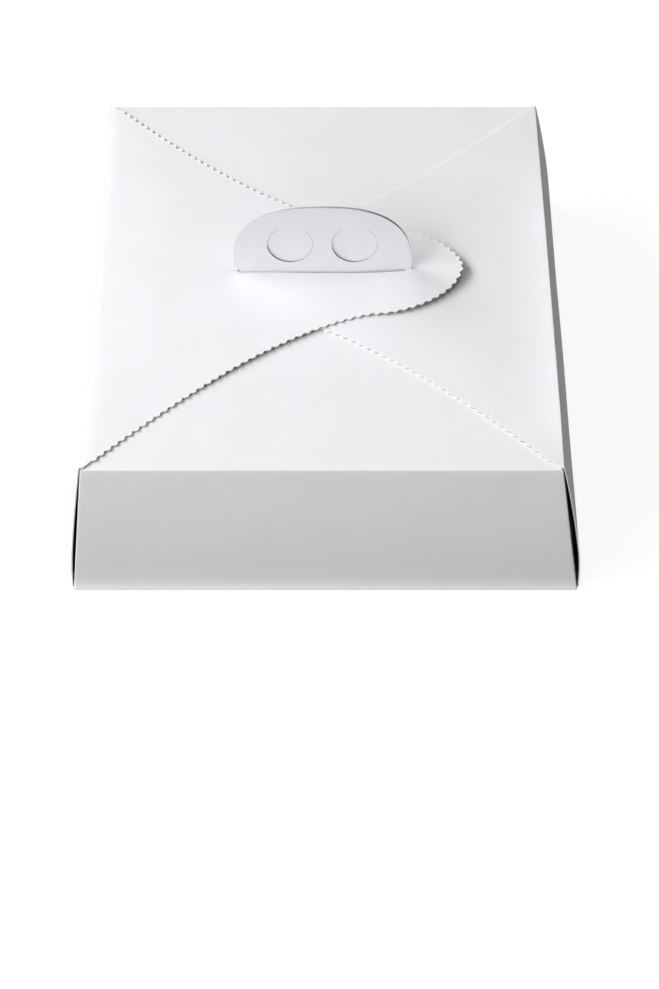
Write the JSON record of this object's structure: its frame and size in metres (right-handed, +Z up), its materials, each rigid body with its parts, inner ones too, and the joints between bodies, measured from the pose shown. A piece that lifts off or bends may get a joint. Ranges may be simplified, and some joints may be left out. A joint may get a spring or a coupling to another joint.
{
  "type": "cake box",
  "caption": "Folded white card cake box with slanting walls, scalloped overlapping side flaps and an upright two-layer carry handle with finger discs.",
  "frame": {"origin": "middle of the underside of the base, which rests on the table", "axes": "+X to the right, +Y from the front of the box to the back, +Z up"},
  "size_m": [0.2666, 0.3188, 0.1288],
  "materials": {
    "white_card": "matt, smooth white facing"
  },
  "bodies": {
    "box": {"carton": "white_card"},
    "top_flap": {"left_flap": "white_card"}
  },
  "joints": [
    {"name": "left_flap_hinge", "type": "hinge", "parent": "box", "child": "top_flap", "pos_m": [-0.125, 0, 0.0809], "axis": [0, -1, 0], "range_deg": [0, 200]}
  ]
}
